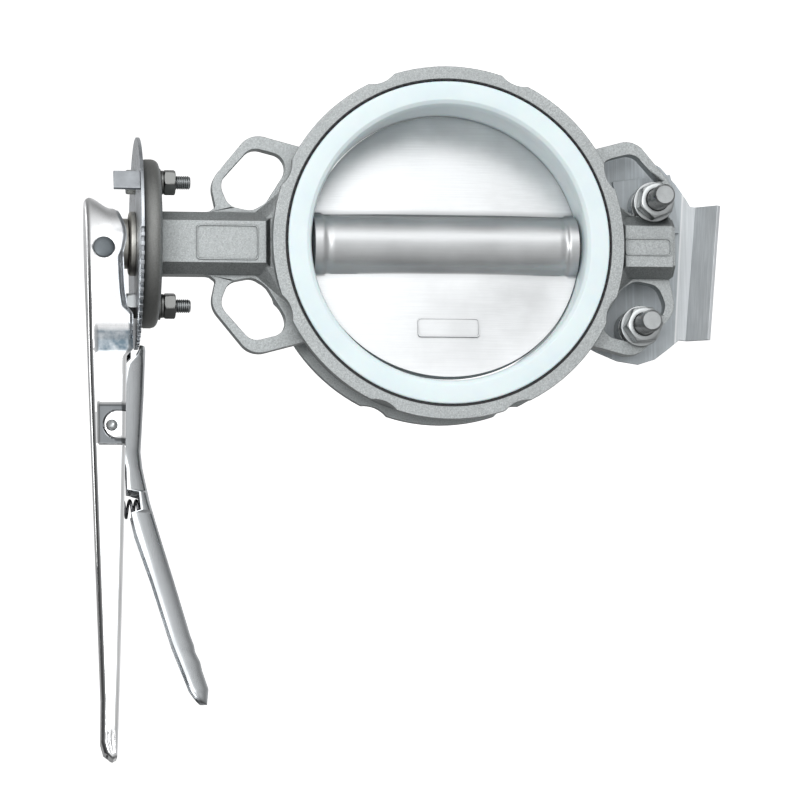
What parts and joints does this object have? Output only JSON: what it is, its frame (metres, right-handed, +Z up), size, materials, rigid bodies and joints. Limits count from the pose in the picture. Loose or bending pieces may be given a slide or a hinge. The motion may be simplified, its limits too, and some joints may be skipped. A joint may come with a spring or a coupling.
{
  "type": "butterfly valve",
  "caption": "Lever-operated wafer butterfly valve with a white lined bore, loop ears, a notch plate, a squeeze latch and a bent sheet support foot.",
  "frame": {"origin": "where the stem axis crosses the pipe axis, on the middle plane of the body", "axes": "+Z up the stem towards the lever, +Y along the pipe from the front face to the back face, +X to the right seen from the front"},
  "size_m": [0.4963, 0.152, 0.4671],
  "materials": {
    "cast_steel": "blasted cast stainless steel, matte",
    "rubber": "matte black rubber",
    "liner": "smooth white fluoropolymer",
    "disc_steel": "satin turned stainless steel",
    "machined_steel": "machined stainless steel",
    "plate_steel": "zinc-grey stamped plate",
    "dark_steel": "dark brown-grey turned steel",
    "fastener": "bright stainless fasteners",
    "polished_sheet": "polished stainless sheet",
    "spring_wire": "spring steel wire",
    "grey_sheet": "bluish rolled sheet"
  },
  "bodies": {
    "valve_body": {"body": "cast_steel", "backing_ring": "rubber", "seat_liner": "liner", "upper_bush": "liner", "lower_bush": "liner", "notch_plate": "plate_steel", "gland_collar": "dark_steel", "flange_bolts": "fastener", "flange_washers": "fastener", "flange_nuts": "fastener", "support_foot": "grey_sheet", "foot_studs": "fastener", "foot_nuts": "fastener", "foot_washers": "fastener", "square_washer": "grey_sheet", "foot_spacers": "fastener"},
    "turning_set": {"disc": "disc_steel", "stem": "machined_steel", "stem_orings": "rubber", "lever": "polished_sheet", "lever_hub": "machined_steel", "hub_rivet": "polished_sheet", "trigger_pin": "fastener", "trigger_spring": "spring_wire"},
    "latch": {"trigger": "polished_sheet"}
  },
  "joints": [
    {"name": "stem_turn", "type": "hinge", "parent": "valve_body", "child": "turning_set", "pos_m": [0, 0, 0], "axis": [0, 0, 1], "range_deg": [-10, 80]},
    {"name": "latch_squeeze", "type": "hinge", "parent": "turning_set", "child": "latch", "pos_m": [-0.13541, -0.02388, 0.2422], "axis": [-0.1736, 0.9848, 0], "range_deg": [0, 14], "stiffness_Nm_per_rad": 2, "springref_deg": -34.38, "deforming": ["trigger_spring"]}
  ]
}
